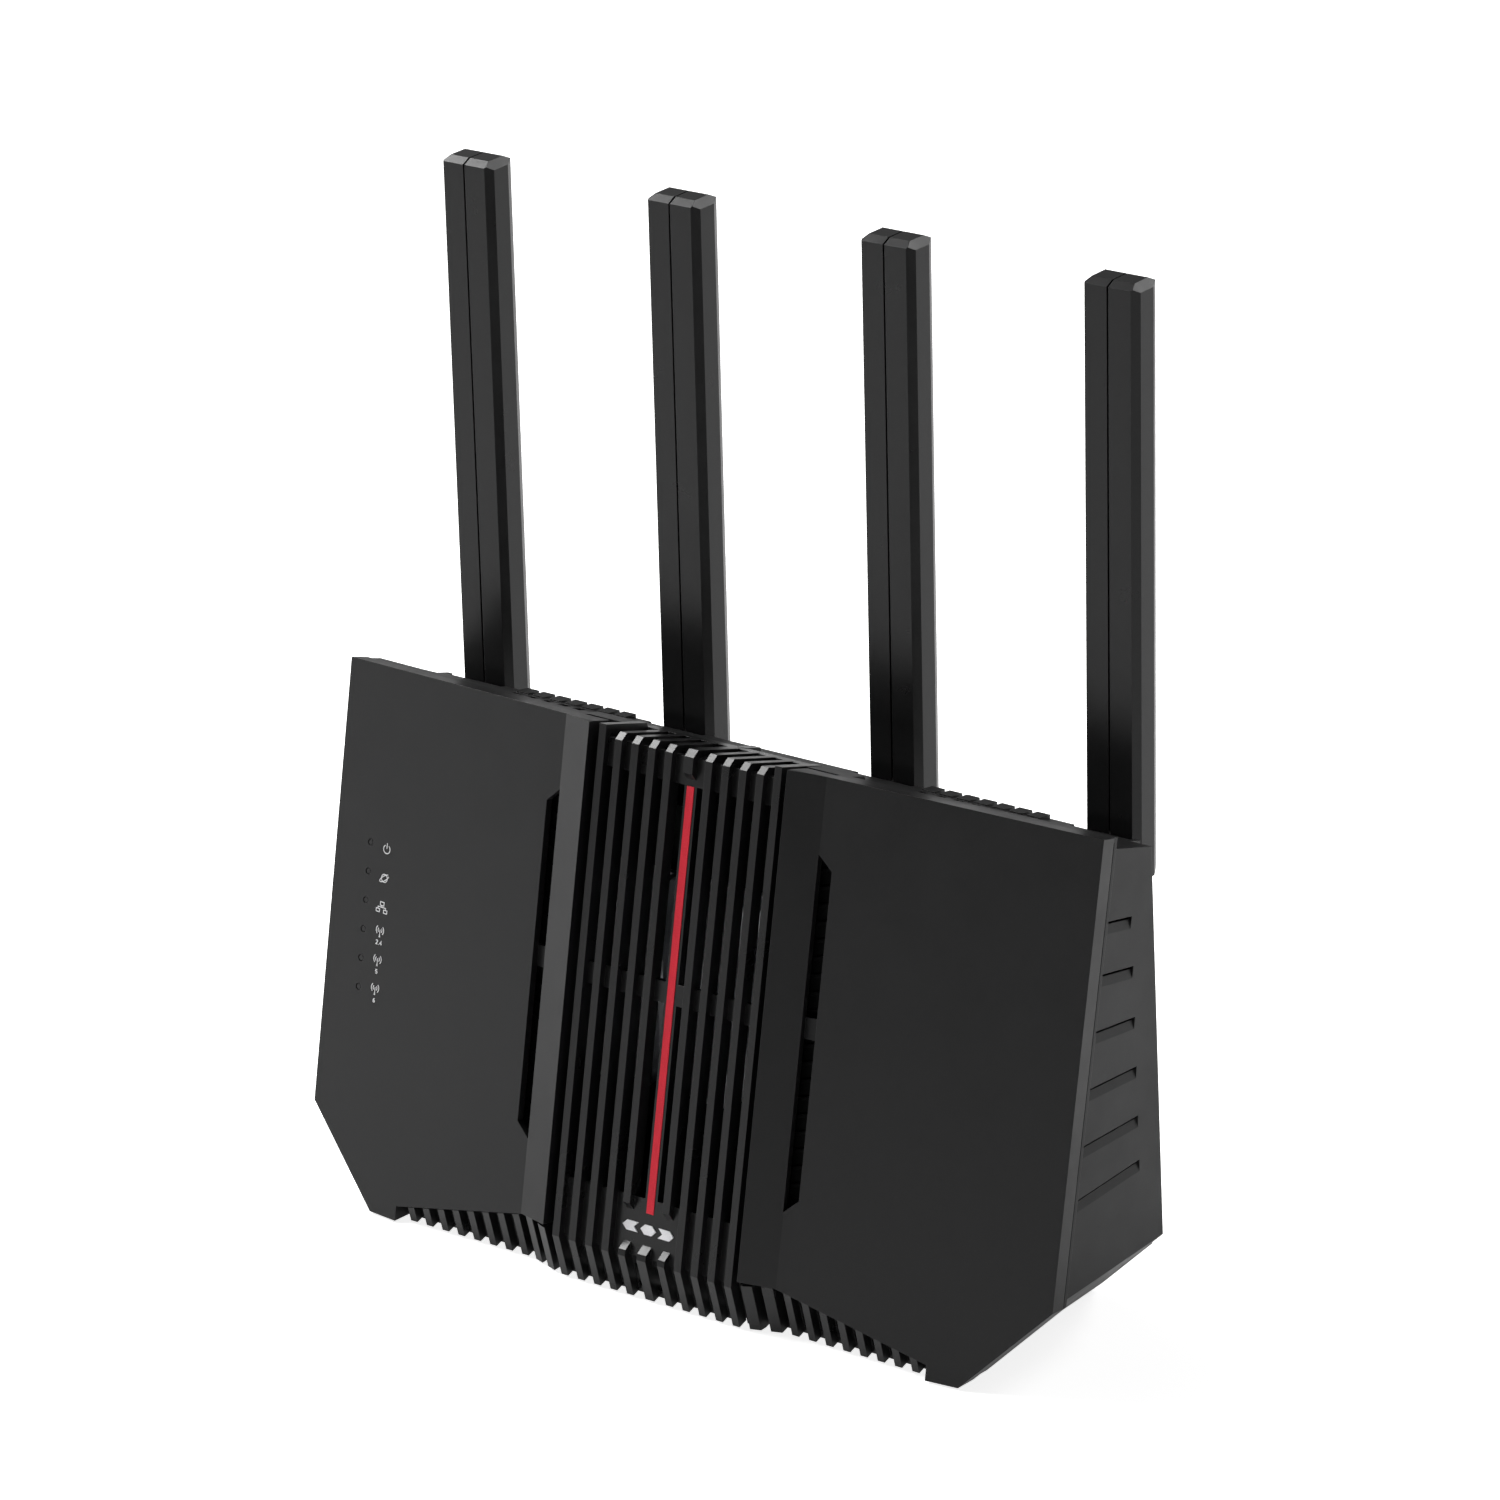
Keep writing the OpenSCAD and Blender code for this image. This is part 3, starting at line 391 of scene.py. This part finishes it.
wing_point, wing_right, wing_up, wing_normal = face_frame(nodes["left_cover"], Vector((0, -1, 0)))
lights_low, lights_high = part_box("status_light_pipes")
mark_x = lights_low.x + MARK_RIGHT * MM
for row, (name, strokes) in enumerate(MARKS.items()):
    drop = MARK_DOWN + row * LIGHT_SPACING * cos(radians(WING_LEAN))
    centre = on_plane(wing_point, wing_normal, mark_x, lights_high.z - drop * MM)
    print_mark(name, strokes, centre, wing_right, wing_up, wing_normal)


# ---- Floor, light and camera. Lengths are in metres, and azimuth 0 is in front, 90 at the right. ----
FLOOR_HALF = 6.0
# The floor's glow as a light on the object, and to the camera.
FLOOR_GLOW = (0.36, 0.84)
# The walls' glow away from the left and straight to the left, and where it starts and ends its rise.
WALL_GLOW = (0.020, 0.56)
WALL_RISE = (0.2, 1.0)
# The point that the lights look at.
LIT_POINT = Vector((0, 0, 0.12))
# Azimuth, elevation, distance, size and watts.
SOFTBOXES = {
    "strip_box": (-82, 52, 1.5, (1.0, 0.3), 28),
    "left_box": (-80, 6, 1.5, (0.7, 1.0), 5.5),
    "rear_box": (142, 8, 1.8, (0.8, 0.4), 2),
    "back_box": (154, 33, 1.8, (0.6, 0.5), 7),
}
CAMERA_AZIMUTH, CAMERA_ELEVATION, CAMERA_ROLL = 36.205, 21.667, -1.44
CAMERA_PLACE = Vector((1.001896, -1.354691, 0.818941))
SENSOR_MM = 36
LENS_MM = 161.345


def direction(azimuth, elevation):
    """Unit vector from the object towards an azimuth and elevation in degrees."""
    a, e = radians(azimuth), radians(elevation)
    return Vector((sin(a) * cos(e), -cos(a) * cos(e), sin(e)))


def floor():
    mesh = bpy.data.meshes.new("floor")
    r = FLOOR_HALF
    mesh.from_pydata([(-r, -r, 0), (r, -r, 0), (r, r, 0), (-r, r, 0)], [], [(0, 1, 2, 3)])
    s = Shader("floor")
    to_camera = s.add("ShaderNodeLightPath").outputs["Is Camera Ray"]
    s.surface(Base_Color=s.mix(s.noise(3.0), (0.92, 0.92, 0.92), (0.95, 0.95, 0.95)),
              Roughness=0.9, Specular_IOR_Level=0.1,
              Emission_Color=(1, 1, 1, 1), Emission_Strength=s.ramp(to_camera, *FLOOR_GLOW))
    mesh.materials.append(s.material)
    new_object("floor", mesh)


def softbox(name, azimuth, elevation, distance, size, watts):
    """Area light that looks at the object."""
    data = bpy.data.lights.new(name, "AREA")
    data.shape = "RECTANGLE"
    data.size, data.size_y = size
    data.energy = watts
    away = direction(azimuth, elevation)
    made = new_object(name, data)
    made.location = LIT_POINT + away * distance
    made.rotation_euler = away.to_track_quat("Z", "Y").to_euler()


def studio():
    """Pale backdrop for the camera, and walls, bright at the left, that light the object."""
    world = bpy.data.worlds.new("studio")
    world.use_nodes = True
    t = NodeTree(world.node_tree)
    white = (1, 1, 1, 1)
    way = t.add("ShaderNodeTexCoord").outputs["Generated"]
    leftward = t.add("ShaderNodeVectorMath", {0: way, 1: (-1, 0, 0)}, operation="DOT_PRODUCT")
    glow = t.ramp(leftward.outputs["Value"], *WALL_GLOW, *WALL_RISE, interpolation_type="SMOOTHSTEP")
    walls = t.tree.nodes["Background"]
    t.feed(walls.inputs["Color"], white)
    t.feed(walls.inputs["Strength"], glow)
    backdrop = t.add("ShaderNodeBackground", {"Color": white, "Strength": 1.0})
    to_camera = t.add("ShaderNodeLightPath").outputs["Is Camera Ray"]
    shown = {0: to_camera, 1: walls.outputs["Background"], 2: backdrop.outputs["Background"]}
    seen = t.add("ShaderNodeMixShader", shown)
    t.feed(t.tree.nodes["World Output"].inputs["Surface"], seen.outputs["Shader"])
    bpy.context.scene.world = world


def camera():
    data = bpy.data.cameras.new("camera")
    data.lens = LENS_MM
    data.sensor_width = SENSOR_MM
    data.clip_end = 50
    back = direction(CAMERA_AZIMUTH, CAMERA_ELEVATION)
    right = (-back).cross(Vector((0, 0, 1))).normalized()
    up = right.cross(-back)
    roll = radians(CAMERA_ROLL)
    side = right * cos(roll) + up * sin(roll)
    top = up * cos(roll) - right * sin(roll)
    turn = Matrix((side, top, back)).transposed().to_4x4()
    made = new_object("camera", data)
    made.matrix_world = Matrix.Translation(CAMERA_PLACE) @ turn
    bpy.context.scene.camera = made


floor()
for name, settings in SOFTBOXES.items():
    softbox(name, *settings)
studio()
bpy.context.scene.view_settings.view_transform = "Standard"
camera()
